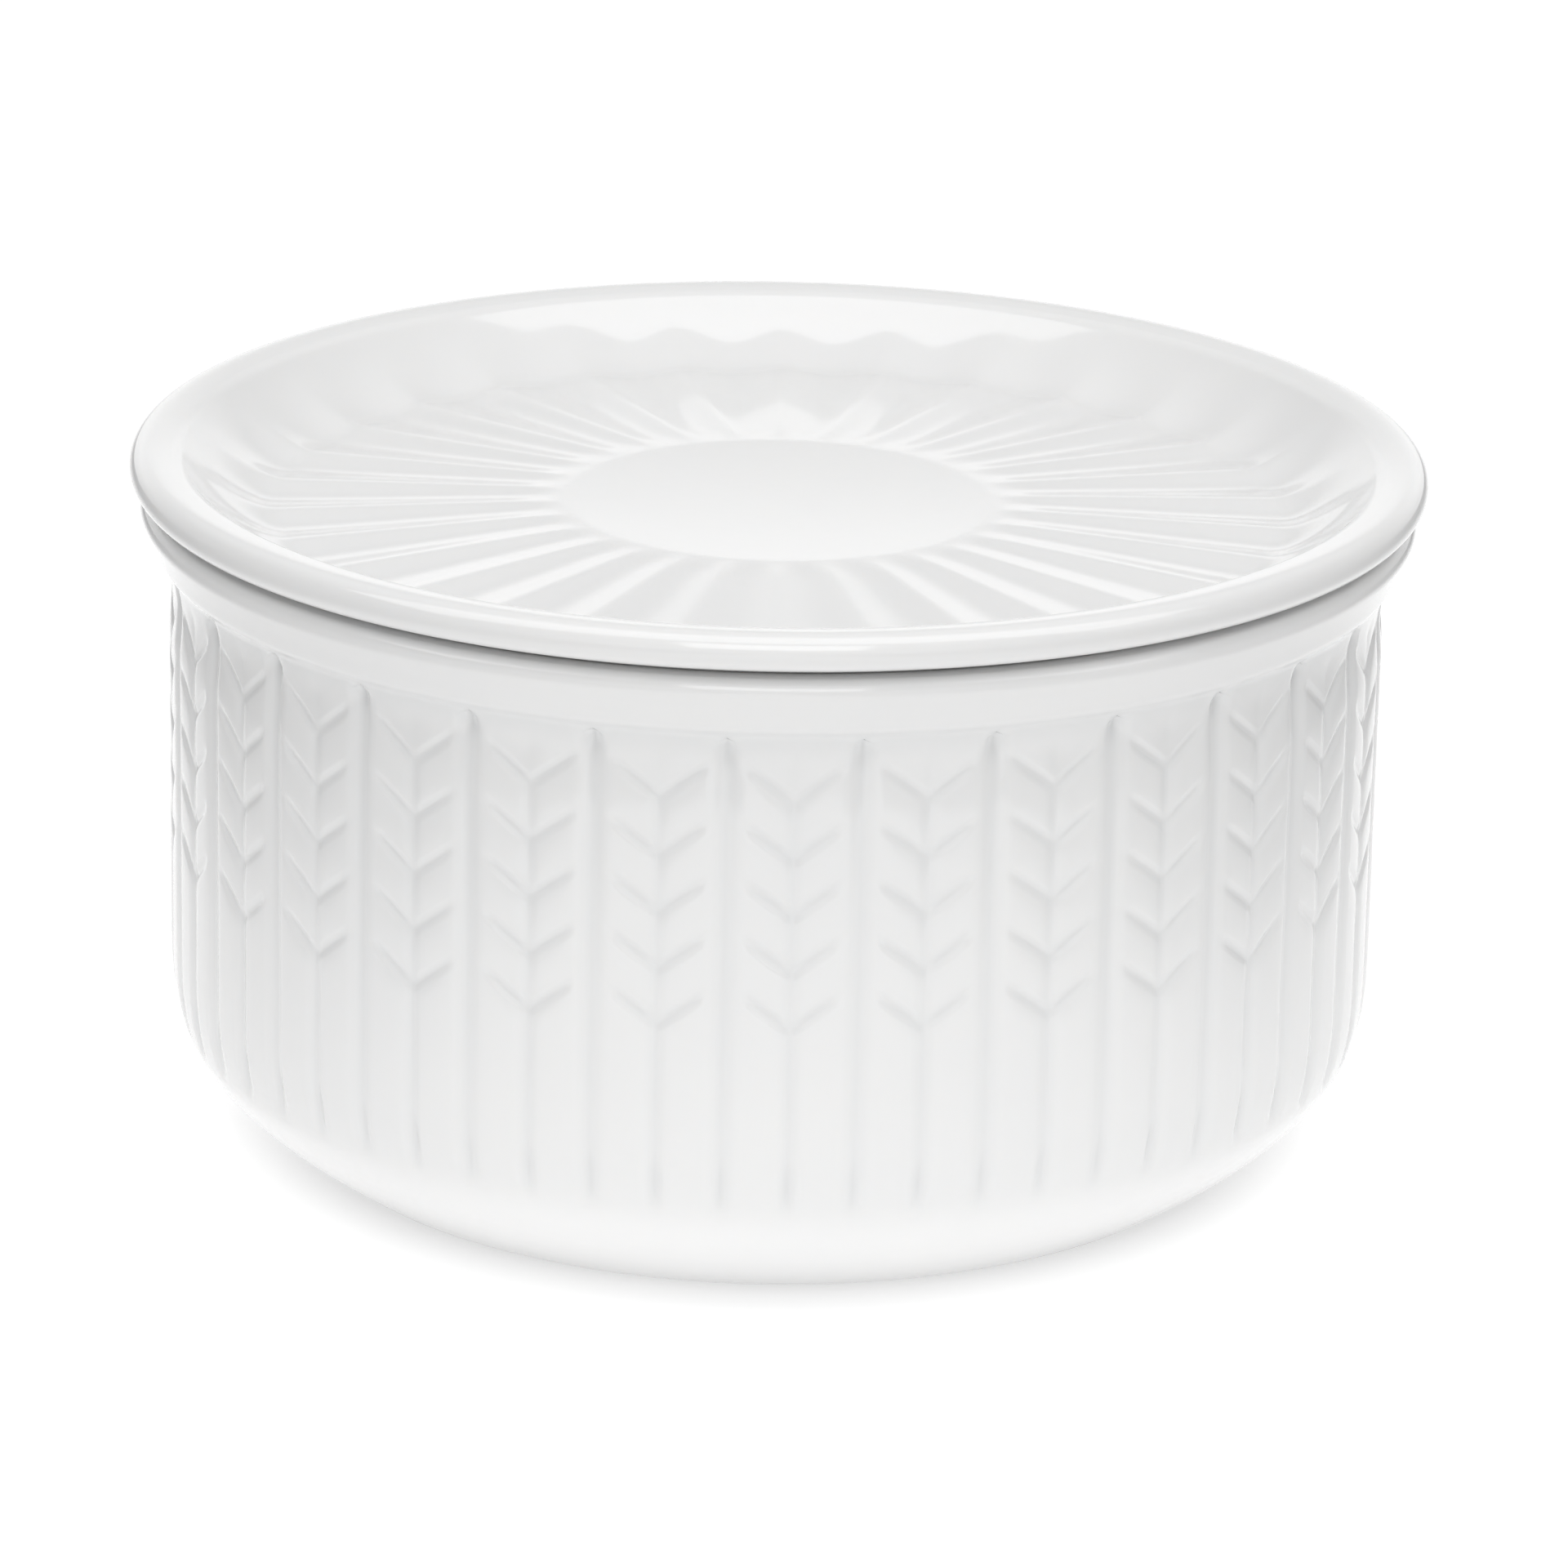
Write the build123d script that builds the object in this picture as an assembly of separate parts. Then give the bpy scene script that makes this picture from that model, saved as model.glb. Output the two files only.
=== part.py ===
from build123d import *
import math
import os

# Covered casserole dish of white glazed porcelain: a round, straight-sided dish with 30 grooved
# panels, and a plate-like lid with a rolled rim and a fluted well.
# Millimetres. The origin is the middle of the foot, on the table, and +Z is the axis of the dish.

# ---- Driving dimensions ----
PANELS = 30                # panels round the dish, and flutes round the lid
PANEL_ANGLE = 360 / PANELS
FRONT = -90                # direction of the front, -Y; a ridge between two flutes faces it

# Dish
WALL_R = 94.1              # outside of the straight wall
WALL_T = 6.1               # thickness of the wall
RIM_Z = 102.7              # flat land on top of the rim, which the lid rests on
NOSE_R = 2.0               # rounding of the rim's outer edge
NOSE_CENTRE_R = 96.4       # where that rounding is centred
COVE_ANGLE = 27.5          # how far the cove under the rim leans out at its top, in degrees
MOUTH_ROUND = 1.5          # rounding of the rim's inner edge
FOOT_R = 74.0              # outer edge of the flat foot ring
FOOT_W = 4.6               # width of the foot ring
FOOT_H = 2.2               # recess inside the foot ring
FOOT_LIFT = 1.0            # rounding between the foot and the belly
BELLY_TOP = 33.4           # where the belly's curve runs into the wall
BELLY_UPRIGHT = 12.0       # how far below that point the curve still holds to the wall
BELLY_PULL_R = 95.0        # point that draws the belly outwards: its radius
BELLY_PULL_Z = 14.2        # and its height
BASE_T = 6.4               # floor of the dish above the table
INNER_CORNER_R = 30.0      # rounding inside, between the floor and the wall

# Grooves of the dish
GROOVE_TOP = 92.0          # upper end of every groove
GROOVE_W = 3.4             # width at the surface
GROOVE_D = 0.7             # depth below the surface
EDGE_OFFSET = 8.0          # angle from the front to the first panel edge

# Lid
LID_R = 100.0              # outside of the rolled rim
ROLL_R = 2.9               # radius of the rolled rim
LID_TOP = 109.9            # top of the rim, which is the top of the whole object
WELL_TOP_R = 92.4          # upper inner edge of the rim
WELL_TOP_DROP = 0.7        # fall of the rim's top from the roll to that edge
WELL_MID = (85.0, 103.3)   # point halfway down the sloping wall of the well
WELL_R = 78.5              # outer edge of the well's floor
WELL_Z = 100.1             # height of the floor at that edge
DISC_R = 33.0              # smooth disc in the middle of the floor
DISC_Z = 101.0             # height of that disc at its edge
DISC_SAG = 0.7             # how much lower its middle lies
FLUTE_D = 1.2              # depth of a flute at the floor's outer edge
FLUTE_W = 15.6             # width of a flute there
SEAT_OUTER_R = 93.6        # outer edge of the ring that rests on the dish's rim
SPIGOT_R = 87.2            # step that drops inside the dish's mouth
SPIGOT_Z = 99.2            # lower edge of that step
SPIGOT_ROUND = 1.0         # rounding between the seat and the step
PLATE_Z = 95.8             # underside of the well's floor
RING_OUTER_R = 80.6        # foot ring under the lid
RING_W = 4.6               # width of that ring
RING_Z = 92.8              # lowest face of that ring
RING_TAPER = 0.6           # slope of the ring's sides

# ---- Worked out from them ----
INNER_R = WALL_R - WALL_T
COVE_LEAN = math.radians(COVE_ANGLE)
COVE_RUN = NOSE_CENTRE_R + NOSE_R * math.cos(COVE_LEAN) - WALL_R
COVE_R = COVE_RUN / (1 - math.cos(COVE_LEAN))
COVE_LOW = RIM_Z - NOSE_R - (NOSE_R + COVE_R) * math.sin(COVE_LEAN)
LID_BOTTOM = LID_TOP - 2 * ROLL_R
ROLL_CENTRE_R = LID_R - ROLL_R


def section(edges):
    """Closed half section, drawn as radius and height, stood up in the XZ plane."""
    return Plane.XZ * make_face(Curve() + edges)


def ring_body(edges):
    return revolve(section(edges), Axis.Z)


def chain(*points):
    """Straight edges through a few points."""
    return [Line(a, b) for a, b in zip(points, points[1:])]


def dish_shell():
    """The dish without its grooves."""
    nose = CenterArc((NOSE_CENTRE_R, RIM_Z - NOSE_R), NOSE_R, -COVE_ANGLE, 90 + COVE_ANGLE)
    cove = CenterArc((WALL_R + COVE_R, COVE_LOW), COVE_R, 180 - COVE_ANGLE, COVE_ANGLE)
    belly_foot = (FOOT_R + FOOT_LIFT, FOOT_LIFT)
    belly = Bezier((WALL_R, BELLY_TOP), (WALL_R, BELLY_TOP - BELLY_UPRIGHT),
                   (BELLY_PULL_R, BELLY_PULL_Z), belly_foot)
    foot_inner = FOOT_R - FOOT_W
    outside = [nose, cove, Line(cove @ 1, belly @ 0), belly, Line(belly_foot, (FOOT_R, 0))]
    underside = chain((FOOT_R, 0), (foot_inner, 0), (foot_inner - FOOT_LIFT, FOOT_H), (0, FOOT_H))
    corner = CenterArc((INNER_R - INNER_CORNER_R, BASE_T + INNER_CORNER_R), INNER_CORNER_R, -90, 90)
    mouth = CenterArc((INNER_R + MOUTH_ROUND, RIM_Z - MOUTH_ROUND), MOUTH_ROUND, 90, 90)
    inside = [Line((0, FOOT_H), (0, BASE_T)), Line((0, BASE_T), corner @ 0), corner,
              Line(corner @ 1, mouth @ 1), mouth, Line(mouth @ 0, nose @ 1)]
    return ring_body(outside + underside + inside)


def groove():
    """V-shaped bar that stands in the wall at the front and runs out where the belly turns in."""
    profile = Polygon((-GROOVE_W, -GROOVE_D), (GROOVE_W, -GROOVE_D), (0, GROOVE_D), align=None)
    return Pos(0, -WALL_R, 0) * extrude(profile, amount=GROOVE_TOP)


def grooves():
    """Edge groove of each panel, and the stem groove down its middle."""
    step = PANEL_ANGLE / 2
    return [Rot(0, 0, EDGE_OFFSET + step * i) * groove() for i in range(2 * PANELS)]


def lid_plate():
    """The lid without its flutes."""
    roll = CenterArc((ROLL_CENTRE_R, LID_TOP - ROLL_R), ROLL_R, -90, 180)
    well_top = (WELL_TOP_R, LID_TOP - WELL_TOP_DROP)
    well = ThreePointArc(well_top, WELL_MID, (WELL_R, WELL_Z))
    middle = DISC_Z - DISC_SAG
    disc = Bezier((DISC_R, DISC_Z), (DISC_R / 2, middle), (0, middle))
    top = [roll, Line(roll @ 1, well_top), well, Line((WELL_R, WELL_Z), (DISC_R, DISC_Z)), disc,
           Line((0, middle), (0, PLATE_Z))]
    shoulder = CenterArc((SPIGOT_R + SPIGOT_ROUND, RIM_Z - SPIGOT_ROUND), SPIGOT_ROUND, 90, 90)
    ring_inner = RING_OUTER_R - RING_W
    underside = chain((0, PLATE_Z), (ring_inner - RING_TAPER, PLATE_Z), (ring_inner, RING_Z),
                      (RING_OUTER_R - RING_TAPER, RING_Z), (RING_OUTER_R, PLATE_Z),
                      (SPIGOT_R, SPIGOT_Z), shoulder @ 1)
    seat = [shoulder] + chain(shoulder @ 0, (SEAT_OUTER_R, RIM_Z),
                              (SEAT_OUTER_R + LID_BOTTOM - RIM_Z, LID_BOTTOM), roll @ 0)
    return ring_body(top + underside + seat)


def flute():
    """V-shaped bar laid along the floor of the well, clear of the disc and sunk in at the edge."""
    profile = Polygon((0, -FLUTE_D), (FLUTE_W, FLUTE_D), (-FLUTE_W, FLUTE_D), align=None)
    inner = Vector(DISC_R, 0, DISC_Z + FLUTE_D)
    outer = Vector(WELL_R, 0, WELL_Z)
    along = Plane(inner, x_dir=(0, 1, 0), z_dir=outer - inner)
    return extrude(along * profile, amount=(outer - inner).length)


def flutes():
    first = FRONT + PANEL_ANGLE / 2
    return [Rot(0, 0, first + PANEL_ANGLE * i) * flute() for i in range(PANELS)]


def save(solid, name, colour):
    solid.label = name
    solid.color = Color(*colour)
    export_step(solid, f"parts/{name}.step")
    print(name, "volume", round(solid.volume), "size", solid.bounding_box().size)


os.makedirs("parts", exist_ok=True)
WHITE = (0.93, 0.93, 0.92)
save(Solid(dish_shell().cut(*grooves()).solid().wrapped), "dish", WHITE)
save(Solid(lid_plate().cut(*flutes()).solid().wrapped), "lid", WHITE)
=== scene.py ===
import math
import bmesh
import bpy
from mathutils import Matrix, Vector
from mathutils.geometry import interpolate_bezier


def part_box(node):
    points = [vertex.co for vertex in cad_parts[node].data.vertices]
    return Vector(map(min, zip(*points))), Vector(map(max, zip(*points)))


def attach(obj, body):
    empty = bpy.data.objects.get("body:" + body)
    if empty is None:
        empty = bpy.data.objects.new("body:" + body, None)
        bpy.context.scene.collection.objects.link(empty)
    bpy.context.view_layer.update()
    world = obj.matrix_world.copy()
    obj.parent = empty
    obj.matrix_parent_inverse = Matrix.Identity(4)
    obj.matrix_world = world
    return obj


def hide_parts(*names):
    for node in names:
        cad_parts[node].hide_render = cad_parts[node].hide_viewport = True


# Covered casserole dish in white glazed porcelain: the dish, with its wall of leaf-veined panels, and
# the plate-like lid, with its pleated well. Outlines are in millimetres, as radius and height.
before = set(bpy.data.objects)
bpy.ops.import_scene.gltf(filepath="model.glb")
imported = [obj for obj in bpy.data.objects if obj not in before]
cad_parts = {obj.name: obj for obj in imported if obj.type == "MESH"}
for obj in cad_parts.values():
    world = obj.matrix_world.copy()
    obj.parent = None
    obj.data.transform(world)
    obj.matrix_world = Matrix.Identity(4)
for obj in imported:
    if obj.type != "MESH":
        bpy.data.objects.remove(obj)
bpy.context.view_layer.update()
lid_low, lid_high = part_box("lid")

LID_R = 100.0                         # outside of the lid's rolled rim
MM = lid_high[0] / LID_R              # one millimetre of the outlines, in metres of the frame
PANELS = 30                           # panels of the dish, and pleats of the lid
PANEL = 2 * math.pi / PANELS
FRONT = -math.pi / 2                  # direction of the front, -Y

# Dish
WALL_R = 94.1
RIM_Z = 102.7                         # flat land that the lid rests on
NOSE_R = 2.0                          # rounding of the rim's outer edge
NOSE_CENTRE_R = 96.4
COVE_TURN = math.radians(27.5)        # lean of the cove at its top
COVE_R = (NOSE_CENTRE_R + NOSE_R * math.cos(COVE_TURN) - WALL_R) / (1 - math.cos(COVE_TURN))
COVE_TOP = RIM_Z - NOSE_R - NOSE_R * math.sin(COVE_TURN)
COVE_LOW = COVE_TOP - COVE_R * math.sin(COVE_TURN)
BELLY_TOP = 33.4                      # where the straight wall turns into the belly
BELLY_UPRIGHT = 12.0
BELLY_PULL_R = 95.0
BELLY_PULL_Z = 14.2
FOOT_R = 74.0
FOOT_W = 4.6
FOOT_H = 2.2                          # recess inside the foot ring
INNER_R = 88.0
FLOOR_Z = 6.4                         # floor inside the dish
FLOOR_ROUND = 30.0                    # curve between that floor and the inner wall
MOUTH_ROUND = 1.5

# Relief of the dish's wall
FIRST_STEM = math.radians(2.0)        # middle of the panel nearest the front
HALF_PANEL = math.pi / PANELS * WALL_R
RELIEF_LOW = 12.0                     # the wall is plain below this height
SHELF_TOP = 95.0                      # soft step from the cove down on to the panels
SHELF_LOW = 92.4
SHELF_D = 1.0
SHELF_DEEPEST = 91.5
SHELF_END = 81.0                      # the wall is back at its own radius here
SLANT_TOP = 94.1                      # highest row that slants with the veins
PANEL_LOW = 19.0                      # lower end of the panels and of every groove
PANEL_LOW_D = 0.22
EDGE_HALF = 2.2                       # half width of the groove between two panels
EDGE_D = 0.52
STEM_HALF = 1.9                       # half width of the stem down a panel
STEM_D = 0.36
EYE_Z = 91.0                          # round eye at the top of each edge groove
EYE_D = 0.75
EYE_HALF = 1.9
EYE_UP = 2.2                          # its reach above its middle, and its tail below
EYE_TAIL = 3.4
TEAR_Z = 23.5                         # drop-shaped lower end of edge and stem grooves
TEAR_D = 0.42
TEAR_HALF = 1.5
TEAR_REACH = 5.0
VEINS = 5                             # pairs of leaf veins in a panel
VEIN_TOP = 83.1                       # where the highest pair meets its stem
VEIN_STEP = 8.68
VEIN_RISE = 0.72                      # rise of a vein over its run
VEIN_REACH = 7.4                      # how far a vein runs from the stem
VEIN_HALF = 1.55
VEIN_D = 0.42
LEAF_SWELL = 0.22                     # how proud the middle of a leaf stands
LEAF_CROWN = 0.52                     # where it stands proud, from the stem to the panel's edge

# Lid
LID_TOP = 109.9
ROLL_R = 2.9
WELL_TOP = (92.4, 109.2)              # inner edge of the rim
WELL_EDGE = (78.5, 100.1)             # outer edge of the well's floor
DISC_R = 33.0                         # smooth disc in the middle
DISC_Z = 101.0                        # its edge
DISC_SAG = 0.7                        # its middle lies this much lower
WELL_TURN = (79.8, 100.5)             # where the floor's rounded corner meets the wall
WALL_END = (91.7, 108.35)             # where the wall turns over into the rim
WAVE_END = 91.5                       # radius at which the pleats run out up the wall
SEAT_R = 93.6                         # ring that rests on the dish
SPIGOT_R = 87.2
SPIGOT_Z = 99.2
PLATE_Z = 95.8                        # underside of the well's floor
RING_R = 80.6                         # foot ring under the lid
RING_W = 4.6
RING_Z = 92.8


# ---------------------------------------------------------------- outlines

def stand(point):
    """Place of an outline's point, on the +X side."""
    return Vector((point[0] * MM, 0, point[1] * MM))


class Outline:
    """Half section drawn by dragging one vertex, as radius and height in millimetres."""

    def __init__(self, start):
        self.bm = bmesh.new()
        self.tip = bmesh.ops.create_vert(self.bm, co=stand(start))["vert"][0]
        self.place = Vector(start)

    def to(self, *points):
        for point in points:
            self.tip = bmesh.ops.extrude_vert_indiv(self.bm, verts=[self.tip])["verts"][0]
            bmesh.ops.translate(self.bm, verts=[self.tip], vec=stand(point) - self.tip.co)
            self.place = Vector(point)

    def run(self, end, steps):
        a = self.place.copy()
        self.to(*[a.lerp(Vector(end), (i + 1) / steps) for i in range(steps)])

    def bend(self, control_a, control_b, end, steps):
        knots = [Vector((*p, 0)) for p in (self.place, control_a, control_b, end)]
        self.to(*[p.xy for p in interpolate_bezier(*knots, steps + 1)[1:]])

    def corner(self, corner, end, steps=3, ease=0.55):
        a, corner, b = self.place, Vector(corner), Vector(end)
        self.bend(a.lerp(corner, ease), b.lerp(corner, ease), b, steps)

    def arc(self, centre, degrees, steps):
        """Swings the tip round a centre; positive turns it from outwards to upwards."""
        swung = bmesh.ops.spin(self.bm, geom=[self.tip], cent=stand(centre), axis=(0, -1, 0),
                               dvec=(0, 0, 0), angle=math.radians(degrees), steps=steps)
        self.tip = [part for part in swung["geom_last"] if isinstance(part, bmesh.types.BMVert)][0]
        self.place = Vector((self.tip.co.x, self.tip.co.z)) / MM


def wall_radius(z):
    """Outside of the dish from the top of the belly to the top of the cove."""
    rise = max(0.0, min(z, COVE_TOP) - COVE_LOW)
    return WALL_R + COVE_R - math.sqrt(COVE_R ** 2 - rise ** 2)


# ---------------------------------------------------------------- shaping helpers

def smooth(low, high, value):
    """0 below low, 1 above high, with a soft start and end."""
    t = min(1.0, max(0.0, (value - low) / (high - low)))
    return t * t * (3 - 2 * t)


def hollow(*offsets):
    """Soft-shouldered hollow: 1 in its middle, 0 where the offsets add up to a whole."""
    t = min(1.0, math.hypot(*offsets))
    return (1 - t * t) ** 2


def place_across(v, first):
    """Where a vertex lies in its sector: -1 and 1 at the edges, 0 in the middle."""
    return (math.atan2(v.co.y, v.co.x) - FRONT - first) / (PANEL / 2)


def fan(outline, first, columns, crowd_middle, crowd_edge):
    """Spins an outline through one sector and crowds its columns at its middle and its edges."""
    bm = outline.bm
    bmesh.ops.rotate(bm, verts=bm.verts, matrix=Matrix.Rotation(FRONT + first - PANEL / 2, 3, "Z"))
    bmesh.ops.spin(bm, geom=bm.verts[:] + bm.edges[:], cent=(0, 0, 0), axis=(0, 0, 1), dvec=(0, 0, 0),
                   angle=PANEL, steps=columns)
    bmesh.ops.recalc_face_normals(bm, faces=bm.faces)
    outermost = max(bm.verts, key=lambda v: v.co.xy.length)
    if outermost.normal.xy.dot(outermost.co.xy) < 0:
        bmesh.ops.reverse_faces(bm, faces=bm.faces)
    both, lean = (crowd_middle + crowd_edge) / 2, (crowd_middle - crowd_edge) / 2
    for v in bm.verts:
        if v.co.xy.length > MM:
            place = place_across(v, first)
            t = abs(place)
            pull = both * math.sin(2 * math.pi * t) / (2 * math.pi) + lean * math.sin(math.pi * t) / math.pi
            v.co.rotate(Matrix.Rotation(-math.copysign(pull, place) * PANEL / 2, 3, "Z"))
    bm.normal_update()
    return bm


def press(bm, moves):
    """Moves vertices along the skin's normal, without any twist round the axis."""
    places = []
    for v, depth in moves:
        sideways = Vector((-v.co.y, v.co.x, 0)).normalized()
        inwards = (v.normal.dot(sideways) * sideways - v.normal).normalized()
        places.append((v, v.co + inwards * depth * MM))
    for v, place in places:
        v.co = place


def all_round(bm):
    """Repeats the sector right round the axis and closes it."""
    bmesh.ops.spin(bm, geom=bm.verts[:] + bm.edges[:] + bm.faces[:], cent=(0, 0, 0), axis=(0, 0, 1),
                   dvec=(0, 0, 0), angle=2 * math.pi - PANEL, steps=PANELS - 1, use_duplicate=True)
    bmesh.ops.remove_doubles(bm, verts=bm.verts, dist=0.002 * MM)
    bmesh.ops.recalc_face_normals(bm, faces=bm.faces)


def finished(bm, name, body, node, materials, bare_top, bare_from, bare_to):
    """Makes the object of a shaped skin, glazed but for its foot ring, and hands it to the frame."""
    for face in bm.faces:
        face.smooth = True
        middle = face.calc_center_median() / MM
        face.material_index = int(middle.z < bare_top and bare_from < middle.xy.length < bare_to)
    mesh = bpy.data.meshes.new(name)
    bm.to_mesh(mesh)
    bm.free()
    for material in materials:
        mesh.materials.append(material)
    piece = bpy.data.objects.new(name, mesh)
    bpy.context.scene.collection.objects.link(piece)
    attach(piece, body)
    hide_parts(node)
    return piece


# ---------------------------------------------------------------- dish

def wall_rows():
    """Heights of the rows of the panelled wall, crowded along the veins and at the groove tops."""
    rows = [36.2, 39.2, 42.0, 44.5]
    for vein in reversed(range(VEINS)):
        middle = VEIN_TOP - VEIN_STEP * vein
        offsets = (-2.0, -1.15, -0.8, -0.4, 0.0, 0.4, 0.8, 1.15, 2.0)
        rows += [middle + VEIN_HALF * offset for offset in offsets]
    rows += [87.0, 88.0, 88.8, 89.5, 90.2, 90.9, 91.6, 92.2, 92.8, 93.3, 93.8]
    return rows


def dish_outline():
    """From the middle of the underside, round the outside, over the rim and down to the floor."""
    foot_inner = FOOT_R - FOOT_W
    line = Outline((0, FOOT_H))
    line.run((foot_inner - 2.4, FOOT_H), 3)
    line.corner((foot_inner - 0.9, FOOT_H), (foot_inner - 0.4, 1.1))
    line.corner((foot_inner + 0.1, 0), (foot_inner + 1.0, 0))
    line.run((FOOT_R - 1.0, 0), 2)
    line.corner((FOOT_R - 0.1, 0), (FOOT_R + 1, 1.0))
    line.bend((BELLY_PULL_R, BELLY_PULL_Z), (WALL_R, BELLY_TOP - BELLY_UPRIGHT), (WALL_R, BELLY_TOP), 26)
    line.to(*[(wall_radius(z), z) for z in wall_rows() + [94.4, 95.0, 95.6, 96.6, 97.9, 99.0, COVE_TOP]])
    line.arc((NOSE_CENTRE_R, RIM_Z - NOSE_R), 90 + math.degrees(COVE_TURN), 8)
    line.run((INNER_R + MOUTH_ROUND, RIM_Z), 2)
    line.arc((INNER_R + MOUTH_ROUND, RIM_Z - MOUTH_ROUND), 90, 4)
    line.run((INNER_R, FLOOR_Z + FLOOR_ROUND), 3)
    line.arc((INNER_R - FLOOR_ROUND, FLOOR_Z + FLOOR_ROUND), -90, 9)
    line.run((0, FLOOR_Z), 3)
    return line


def on_wall(v, low, high):
    """Whether a vertex is on the outside of the dish between two heights."""
    return v.co.xy.length > (INNER_R + 2) * MM and low < v.co.z / MM < high


def slant_rows(bm):
    """Lifts the rows of the wall towards the panel edges, so that they run along the veins."""
    for v in bm.verts:
        if on_wall(v, BELLY_TOP, SLANT_TOP):
            angle = math.atan2(v.co.y, v.co.x)
            z = v.co.z / MM
            across = abs(place_across(v, FIRST_STEM)) * HALF_PANEL
            z += VEIN_RISE * across * smooth(BELLY_TOP, 46, z) * (1 - smooth(84.5, SLANT_TOP, z) ** 0.8)
            z = min(z, SLANT_TOP)
            v.co = Vector((math.cos(angle) * wall_radius(z), math.sin(angle) * wall_radius(z), z)) * MM


def leaf_depth(across, z):
    """Veins that rise in pairs from the stem, and the swelling of the leaves between them."""
    count = (VEIN_TOP - z + VEIN_RISE * across) / VEIN_STEP
    nearest = min(VEINS - 1, max(0, round(count)))
    off_vein = (count - nearest) * VEIN_STEP
    tip = max(0.0, across - VEIN_REACH + VEIN_HALF) / VEIN_HALF
    strength = 0.6 + 0.4 * smooth(0.3, 2.2, across) - 0.35 * smooth(3.5, VEIN_REACH, across)
    vein = VEIN_D * strength * hollow(off_vein / VEIN_HALF, tip)
    between = abs(count - round(count)) * 2
    in_leaves = smooth(-0.75, -0.2, count) * (1 - smooth(VEINS - 0.9, VEINS - 0.4, count))
    lengthways = (1 - between ** 2) * (1 - smooth(3.0, HALF_PANEL - 1.5, across)) * in_leaves
    return vein + LEAF_SWELL * 0.7 * lengthways


def groove_depth(offset, z, half_width, depth, top):
    """Upright groove up to a given height, with its drop-shaped lower end."""
    ended = smooth(PANEL_LOW - 1.0, PANEL_LOW + 2.0, z) * (1 - smooth(top - 1.5, top + 0.8, z))
    tear = TEAR_D * hollow(offset / TEAR_HALF, (z - TEAR_Z) / TEAR_REACH)
    return depth * hollow(offset / half_width) * ended + tear


def shelf_depth(z):
    """Step under the cove, which runs out slowly towards the middle of the wall."""
    return SHELF_D * (1 - smooth(SHELF_LOW, SHELF_TOP, z)) * smooth(SHELF_END, SHELF_DEEPEST, z)


def wall_depth(across, z):
    """How far the panelled wall is pressed in, in millimetres."""
    to_edge = HALF_PANEL - across
    low_step = PANEL_LOW_D * smooth(PANEL_LOW - 1.2, PANEL_LOW + 1.2, z) * (1 - smooth(22, 34, z))
    edge = groove_depth(to_edge, z, EDGE_HALF, EDGE_D, SHELF_LOW)
    edge += EYE_D * hollow(to_edge / EYE_HALF, (z - EYE_Z) / (EYE_UP if z > EYE_Z else EYE_TAIL))
    veins_down = (VEIN_TOP - z) / VEIN_STEP
    off_vein = abs(veins_down - round(veins_down)) * 2
    stem_d = STEM_D * (1.15 - 0.45 * off_vein * smooth(44, 50, z))
    stem = groove_depth(across, z, STEM_HALF, stem_d, VEIN_TOP)
    off_crown = (across / HALF_PANEL - LEAF_CROWN) / 0.5
    swell = LEAF_SWELL * off_crown ** 2 * smooth(20, 40, z) * (1 - smooth(88, 92, z))
    grooves = math.hypot(max(edge, stem), leaf_depth(across, z))
    return shelf_depth(z) + low_step + swell + grooves


def press_wall(bm):
    """Presses the panels' relief into the dish, and notes where the glaze pools in the grooves, greyed
    there as thicker glaze and painted shade, and where a band of painted shade lies under the cove.
    """
    pool_and_shade = bm.verts.layers.float.new("glaze_pool_and_painted_shade")
    moves = []
    for v in bm.verts:
        if on_wall(v, RELIEF_LOW, SHELF_TOP + 1):
            z = v.co.z / MM
            across = min(HALF_PANEL, abs(place_across(v, FIRST_STEM)) * HALF_PANEL)
            depth = wall_depth(across, z)
            # painted shade: a grey band under the cove, laid on apart from any hollow; the groove depth
            # adds the grey of thicker glaze together with painted shade
            painted_shade_under_cove = smooth(88.5, SHELF_LOW, z) * (1 - smooth(SHELF_LOW + 1, SHELF_TOP + 0.6, z))
            v[pool_and_shade] = min(1.0, max(0.0, depth - shelf_depth(z) - 0.05) + 0.75 * painted_shade_under_cove)
            moves.append((v, depth))
    press(bm, moves)


def make_dish(materials):
    bm = fan(dish_outline(), FIRST_STEM, 24, 0.4, 0.45)
    slant_rows(bm)
    bm.normal_update()
    press_wall(bm)
    all_round(bm)
    return finished(bm, "porcelain_dish", "dish", "dish", materials, 0.03, FOOT_R - FOOT_W, FOOT_R)


# ---------------------------------------------------------------- lid

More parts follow.
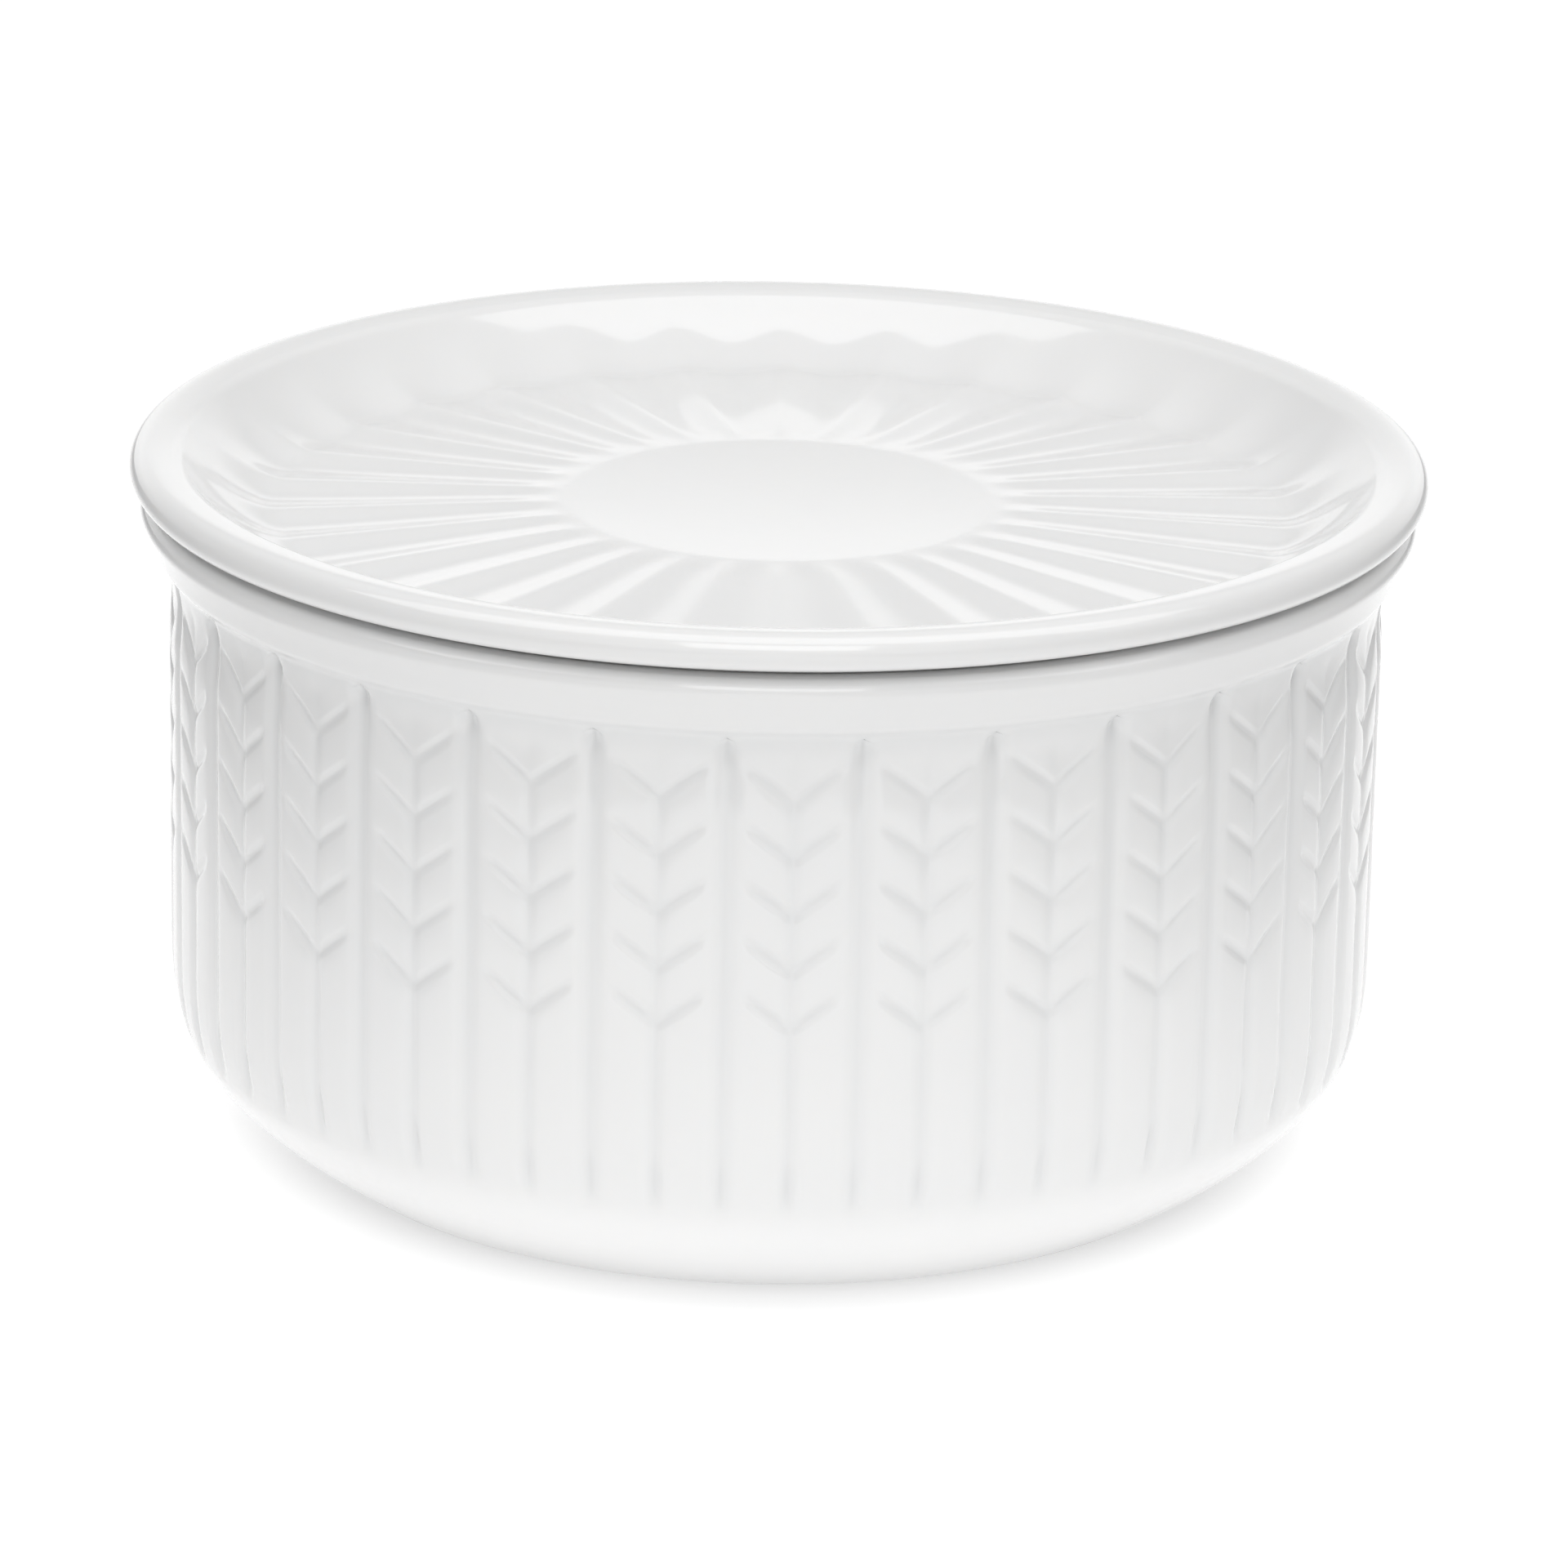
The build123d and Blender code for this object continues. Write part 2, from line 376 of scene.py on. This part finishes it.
def lid_outline():
    """From the middle of the well, up over the rolled rim and back under to the middle."""
    line = Outline((0, DISC_Z - DISC_SAG))
    disc_rows = (6, 12, 18, 23, 27, 30, 32, 33)
    line.to(*[(r, DISC_Z - DISC_SAG * (1 - (r / DISC_R) ** 2)) for r in disc_rows])
    floor_rows = (33.5, 34, 34.5, 35, 35.6, 36.4, 37.5, 39, 41, 44, 48, 52, 56, 60, 64, 67.5, 70.5,
                  73, 75, 76.4, 77.3)
    for r in floor_rows:
        line.to((r, DISC_Z + (WELL_EDGE[1] - DISC_Z) * (r - DISC_R) / (WELL_EDGE[0] - DISC_R)))
    line.corner(WELL_EDGE, WELL_TURN, 4)
    line.bend((83.6, 101.7), (88.4, 105.0), WALL_END, 18)
    line.corner(WELL_TOP, (93.6, 109.42), 6)
    line.bend((94.8, 109.64), (95.8, LID_TOP), (LID_R - ROLL_R, LID_TOP), 4)
    line.arc((LID_R - ROLL_R, LID_TOP - ROLL_R), -180, 18)
    lid_bottom = LID_TOP - 2 * ROLL_R
    line.run((SEAT_R + 2.2, lid_bottom), 1)
    line.bend((SEAT_R + 1.2, lid_bottom), (SEAT_R + 1, RIM_Z), (SEAT_R, RIM_Z), 4)
    line.run((SPIGOT_R + 1, RIM_Z), 2)
    line.arc((SPIGOT_R + 1, RIM_Z - 1), 90, 4)
    line.run((SPIGOT_R, SPIGOT_Z + 0.9), 1)
    line.corner((SPIGOT_R, SPIGOT_Z), (SPIGOT_R - 0.8, SPIGOT_Z - 0.4))
    line.run((RING_R + 0.9, PLATE_Z + 0.5), 2)
    line.corner((RING_R, PLATE_Z), (RING_R - 0.2, PLATE_Z - 1))
    line.run((RING_R - 0.5, RING_Z + 0.6), 1)
    line.corner((RING_R - 0.6, RING_Z), (RING_R - 1.2, RING_Z))
    ring_inner = RING_R - RING_W
    line.run((ring_inner + 0.6, RING_Z), 2)
    line.corner((ring_inner, RING_Z), (ring_inner - 0.1, RING_Z + 0.6))
    line.run((ring_inner - 0.5, PLATE_Z - 1.2), 1)
    line.corner((ring_inner - 0.6, PLATE_Z), (ring_inner - 2, PLATE_Z))
    line.run((0, PLATE_Z), 4)
    return line


def pleat_depth(place, radius):
    """How far the pleats press the well in, in millimetres: soft ridges between round valleys."""
    started = smooth(DISC_R, DISC_R + 8, radius)
    depth = started * (0.32 + 0.5 * smooth(DISC_R, WELL_EDGE[0], radius))
    depth *= 1 - smooth(WELL_EDGE[0], WAVE_END, radius)
    lift = 0.15 * started * (1 - smooth(80, WAVE_END, radius))
    wave = 0.4 * (1 - place ** 2) + 0.3 * (1 + math.cos(math.pi * place))
    return depth * wave - lift


def press_well(bm):
    """Presses the pleats into the well of the lid, and notes where the glaze pools, which greys the pleats'
    valleys as thicker glaze and painted shade.
    """
    pool_and_shade = bm.verts.layers.float.new("glaze_pool_and_painted_shade")
    moves = []
    for v in bm.verts:
        radius = v.co.xy.length / MM
        if v.normal.z > 0.2 and DISC_R < radius < WELL_TOP[0] and v.co.z / MM > DISC_Z - 2:
            place = min(1.0, abs(place_across(v, PANEL / 2)))
            depth = pleat_depth(place, radius)
            # the valleys' grey is thicker glaze and painted shade
            v[pool_and_shade] = min(1.0, max(0.0, depth * 0.3))
            moves.append((v, depth))
    press(bm, moves)


def make_lid(materials):
    bm = fan(lid_outline(), PANEL / 2, 22, -0.45, 0.6)
    press_well(bm)
    all_round(bm)
    return finished(bm, "porcelain_lid", "lid", "lid", materials, 92.83, RING_R - RING_W, RING_R)


# ---------------------------------------------------------------- materials

def group(name, inputs, outputs):
    """Empty shader node group with named inputs (name, default) and outputs (name, socket kind)."""
    tree = bpy.data.node_groups.new(name, "ShaderNodeTree")
    for label, default in inputs:
        kind = "NodeSocketColor" if isinstance(default, tuple) else "NodeSocketFloat"
        socket = tree.interface.new_socket(label, in_out="INPUT", socket_type=kind)
        socket.default_value = default
    for label, kind in outputs:
        tree.interface.new_socket(label, in_out="OUTPUT", socket_type=kind)
    return tree, tree.nodes.new("NodeGroupInput"), tree.nodes.new("NodeGroupOutput")


def node(tree, kind, links=(), **settings):
    """A node with its settings, and each (input, source socket) link."""
    made = tree.nodes.new(kind)
    for key, value in settings.items():
        if key.startswith("in_"):
            made.inputs[key[3:].replace("_", " ")].default_value = value
        else:
            setattr(made, key, value)
    for target, source in links:
        tree.links.new(source, made.inputs[target])
    return made


def ramp(tree, source, low, high, start=0.0, end=1.0, kind="LINEAR"):
    """Value that goes from start to end while the source goes from low to high."""
    made = node(tree, "ShaderNodeMapRange", [("Value", source)], interpolation_type=kind,
                in_From_Min=low, in_From_Max=high, in_To_Min=start, in_To_Max=end)
    return made.outputs["Result"]


def sums(tree, operation, first, second=None):
    """Value of a Math node; each of its two terms is a socket or a number."""
    made = node(tree, "ShaderNodeMath", operation=operation)
    for socket, term in zip(made.inputs, (first, second)):
        if isinstance(term, bpy.types.NodeSocket):
            tree.links.new(term, socket)
        elif term is not None:
            socket.default_value = term
    return made.outputs["Value"]


def blend(tree, factor, first, second):
    """Colour between two colours."""
    made = node(tree, "ShaderNodeMix", [("Factor", factor), ("A", first)], data_type="RGBA")
    if isinstance(second, tuple):
        made.inputs["B"].default_value = second
    else:
        tree.links.new(second, made.inputs["B"])
    return made.outputs["Result"]


def noise(tree, place, size, **settings):
    made = node(tree, "ShaderNodeTexNoise", [("Vector", place.outputs["Object"]), ("Scale", size)],
                **settings)
    return made.outputs["Fac"]


def fired_surface():
    """Slight waviness that firing leaves, with a finer ripple over it, as a height."""
    tree, given, result = group(
        "fired_surface", [("Wave size", 60.0), ("Ripple size", 420.0), ("Ripple share", 0.25)],
        [("Height", "NodeSocketFloat")])
    place = node(tree, "ShaderNodeTexCoord")
    wave = noise(tree, place, given.outputs["Wave size"], in_Detail=1.0)
    ripple = noise(tree, place, given.outputs["Ripple size"], in_Detail=2.0)
    mixed = node(tree, "ShaderNodeMix", [("Factor", given.outputs["Ripple share"]), ("A", wave),
                                         ("B", ripple)])
    tree.links.new(mixed.outputs["Result"], result.inputs["Height"])
    return tree


def clay_tone():
    """Faint clouds and a few pinpoint specks in the white of the clay, as a colour."""
    tree, given, result = group(
        "clay_tone", [("White", (0.9, 0.9, 0.9, 1)), ("Cloud", (0.86, 0.87, 0.88, 1)),
                      ("Speck", (0.6, 0.57, 0.52, 1)), ("Cloud size", 22.0)],
        [("Color", "NodeSocketColor")])
    place = node(tree, "ShaderNodeTexCoord")
    cloud = noise(tree, place, given.outputs["Cloud size"], in_Detail=3.0, in_Roughness=0.6)
    toned = blend(tree, ramp(tree, cloud, 0.42, 0.72), given.outputs["White"], given.outputs["Cloud"])
    spots = node(tree, "ShaderNodeTexVoronoi", [("Vector", place.outputs["Object"])], in_Scale=95.0)
    near = ramp(tree, spots.outputs["Distance"], 0.012, 0.022, 1.0, 0.0)
    chosen = node(tree, "ShaderNodeSeparateColor", [("Color", spots.outputs["Color"])])
    rare = sums(tree, "GREATER_THAN", chosen.outputs["Red"], 0.93)
    faint = sums(tree, "MULTIPLY", sums(tree, "MULTIPLY", near, rare), 0.5)
    specked = blend(tree, faint, toned, given.outputs["Speck"])
    tree.links.new(specked, result.inputs["Color"])
    return tree


def use_group(tree, shared, **values):
    made = tree.nodes.new("ShaderNodeGroup")
    made.node_tree = shared
    for label, value in values.items():
        made.inputs[label.replace("_", " ")].default_value = value
    return made


def new_material(name):
    material = bpy.data.materials.new(name)
    material.use_nodes = True
    tree = material.node_tree
    return material, tree, tree.nodes["Principled BSDF"]


def glazed_porcelain(surface, tone):
    """White body under a clear gloss glaze that lies thicker and a little greyer in the hollows; that grey
    is partly painted shade in the grooves and pleats, and wholly painted shade in the band under the dish's
    cove.
    """
    material, tree, shader = new_material("glazed_porcelain")
    clay = use_group(tree, tone, White=(0.83, 0.83, 0.827, 1), Cloud=(0.818, 0.819, 0.819, 1))
    # grey of thicker glaze and painted shade in the hollows, and painted shade under the cove
    pool_and_shade = node(tree, "ShaderNodeAttribute", attribute_name="glaze_pool_and_painted_shade")
    thickness_and_shade = ramp(tree, pool_and_shade.outputs["Fac"], 0.0, 1.0, end=0.42)
    pooled_and_shaded = blend(tree, thickness_and_shade, clay.outputs["Color"], (0.73, 0.74, 0.745, 1))
    tree.links.new(pooled_and_shaded, shader.inputs["Base Color"])
    fired = use_group(tree, surface, Wave_size=45.0, Ripple_size=380.0, Ripple_share=0.12)
    height = fired.outputs["Height"]
    tree.links.new(ramp(tree, height, 0.0, 1.0, 0.07, 0.15), shader.inputs["Roughness"])
    bump = node(tree, "ShaderNodeBump", [("Height", height)], in_Strength=0.35, in_Distance=0.0002)
    tree.links.new(bump.outputs["Normal"], shader.inputs["Normal"])
    shader.inputs["IOR"].default_value = 1.52
    shader.inputs["Coat Weight"].default_value = 0.4
    shader.inputs["Coat Roughness"].default_value = 0.03
    shader.inputs["Subsurface Weight"].default_value = 0.12
    shader.inputs["Subsurface Radius"].default_value = (1.0, 0.9, 0.8)
    shader.inputs["Subsurface Scale"].default_value = 0.002
    return material


def bare_porcelain(surface, tone):
    """Ground, unglazed porcelain of the foot rings: dull, fine-grained and a little warmer."""
    material, tree, shader = new_material("bare_porcelain")
    clay = use_group(tree, tone, White=(0.83, 0.81, 0.77, 1), Cloud=(0.78, 0.76, 0.72, 1),
                     Speck=(0.35, 0.32, 0.3, 1), Cloud_size=60.0)
    tree.links.new(clay.outputs["Color"], shader.inputs["Base Color"])
    fired = use_group(tree, surface, Wave_size=500.0, Ripple_size=2500.0, Ripple_share=0.6)
    height = fired.outputs["Height"]
    tree.links.new(ramp(tree, height, 0.0, 1.0, 0.6, 0.8), shader.inputs["Roughness"])
    bump = node(tree, "ShaderNodeBump", [("Height", height)], in_Strength=0.5, in_Distance=0.0001)
    tree.links.new(bump.outputs["Normal"], shader.inputs["Normal"])
    return material


# ---------------------------------------------------------------- studio

# Lights: name, place and size in metres, power in watts
SOFTBOXES = (("overhead", (0.0, -0.35, 1.6), (3.8, 1.15), 20.5),
             ("front", (0.0, -2.6, 1.9), (1.6, 1.5), 16.8),
             ("right_side", (1.5, -0.6, 0.95), (0.7, 0.9), 1.2))
LIGHT_AIM = (0, 0, 0.05)
FLOOR_HALF = 12.0
FLOOR_PALE = 0.5                      # how pale the floor is, and how pale off to the sides
FLOOR_PALE_ASIDE = 0.25
FLOOR_GLOW = 0.68                     # light that the floor gives off, and under the dish
FLOOR_GLOW_UNDER = 0.38
GLOW_FROM, GLOW_TO = 0.064, 0.094     # distance from the axis over which that light rises
GLOW_ASIDE = 0.22                     # share of it that is left off to the sides
SIDES_APEX = 1.2                      # the sides spread from a point this far before the object,
SIDES_FROM, SIDES_TO = 0.118, 0.27    # and are reached at this width over distance from there
SIDES_SHORTEST = 0.5
SKY_LOW, SKY_HIGH = 0.2, 0.44         # rise over which the light round the studio fades upwards
SKY_ABOVE = 0.53
VIEW_DOWN = math.radians(18.59)       # how far the camera looks down
VIEW_ROLL = math.radians(1.12)
VIEW_DISTANCE = 12.0                  # in lid radii, from the point looked at
VIEW_HEIGHT = 0.42                    # height of that point
VIEW_RAISE = 0.118                    # raise of the camera across its line of sight
VIEW_RIGHT = 0.017                    # its shift to the right
LENS = 175.4


def make_camera():
    data = bpy.data.cameras.new("camera")
    data.lens = LENS
    data.sensor_width = 36.0
    camera = bpy.data.objects.new("camera", data)
    bpy.context.scene.collection.objects.link(camera)
    turn = Matrix.Rotation(math.pi / 2 - VIEW_DOWN, 4, "X")
    offset = turn @ Vector((VIEW_RIGHT, VIEW_RAISE, VIEW_DISTANCE))
    place = (Vector((0, 0, VIEW_HEIGHT)) + offset) * LID_R * MM
    camera.matrix_world = Matrix.Translation(place) @ turn @ Matrix.Rotation(VIEW_ROLL, 4, "Z")
    data.clip_end = 50.0
    bpy.context.scene.camera = camera


def softbox(name, place, size, power):
    """Rectangular light that faces the object."""
    data = bpy.data.lights.new(name, "AREA")
    data.shape = "RECTANGLE"
    data.size, data.size_y = size
    data.energy = power
    light = bpy.data.objects.new(name, data)
    bpy.context.scene.collection.objects.link(light)
    facing = (Vector(place) - Vector(LIGHT_AIM)).to_track_quat("Z", "Y")
    light.matrix_world = Matrix.Translation(place) @ facing.to_matrix().to_4x4()


def studio_white():
    """Pale floor that gives off light, but less of it under the dish and off to the sides."""
    material, tree, shader = new_material("studio_white")
    shader.inputs["Roughness"].default_value = 0.9
    shader.inputs["Specular IOR Level"].default_value = 0.1
    shader.inputs["Emission Color"].default_value = (1, 1, 1, 1)
    place = node(tree, "ShaderNodeTexCoord").outputs["Object"]
    distance = node(tree, "ShaderNodeVectorMath", [(0, place)], operation="LENGTH").outputs["Value"]
    parts = node(tree, "ShaderNodeSeparateXYZ", [("Vector", place)])
    spread = sums(tree, "MAXIMUM", sums(tree, "ADD", parts.outputs["Y"], SIDES_APEX), SIDES_SHORTEST)
    aside = sums(tree, "DIVIDE", sums(tree, "ABSOLUTE", parts.outputs["X"]), spread)
    glow = ramp(tree, distance, GLOW_FROM, GLOW_TO, FLOOR_GLOW_UNDER, FLOOR_GLOW, "SMOOTHSTEP")
    share = ramp(tree, aside, SIDES_FROM, SIDES_TO, 1.0, GLOW_ASIDE, "SMOOTHSTEP")
    tree.links.new(sums(tree, "MULTIPLY", glow, share), shader.inputs["Emission Strength"])
    paleness = ramp(tree, aside, SIDES_FROM, SIDES_TO, FLOOR_PALE, FLOOR_PALE_ASIDE, "SMOOTHSTEP")
    tree.links.new(paleness, shader.inputs["Base Color"])
    return material


def make_floor():
    bm = bmesh.new()
    bmesh.ops.create_grid(bm, x_segments=1, y_segments=1, size=FLOOR_HALF)
    mesh = bpy.data.meshes.new("floor")
    bm.to_mesh(mesh)
    bm.free()
    mesh.materials.append(studio_white())
    floor = bpy.data.objects.new("floor", mesh)
    bpy.context.scene.collection.objects.link(floor)


def make_surroundings():
    """White all round, brightest low down behind the object and dimmer above and at the sides."""
    world = bpy.data.worlds.new("studio")
    world.use_nodes = True
    bpy.context.scene.world = world
    tree = world.node_tree
    looking = node(tree, "ShaderNodeTexCoord").outputs["Generated"]
    parts = node(tree, "ShaderNodeSeparateXYZ", [("Vector", looking)])
    height = ramp(tree, parts.outputs["Z"], SKY_LOW, SKY_HIGH, 1.0, SKY_ABOVE, "SMOOTHSTEP")
    sideways = sums(tree, "ABSOLUTE", parts.outputs["X"])
    flank = ramp(tree, sideways, 0.3, 0.95, 1.0, 0.38, "SMOOTHSTEP")
    behind = ramp(tree, parts.outputs["Y"], 0.1, 0.7, 0.9, 1.12, "SMOOTHSTEP")
    strength = sums(tree, "MULTIPLY", height, sums(tree, "MULTIPLY", flank, behind))
    background = tree.nodes["Background"]
    tree.links.new(strength, background.inputs["Strength"])
    background.inputs["Color"].default_value = (1, 1, 1, 1)


def make_studio():
    make_floor()
    make_surroundings()
    for box in SOFTBOXES:
        softbox(*box)
    view = bpy.context.scene.view_settings
    view.view_transform = "Standard"
    view.look = "None"
    view.exposure = 0.0


make_camera()
make_studio()
fired = fired_surface()
tone = clay_tone()
porcelain = [glazed_porcelain(fired, tone), bare_porcelain(fired, tone)]
make_dish(porcelain)
make_lid(porcelain)
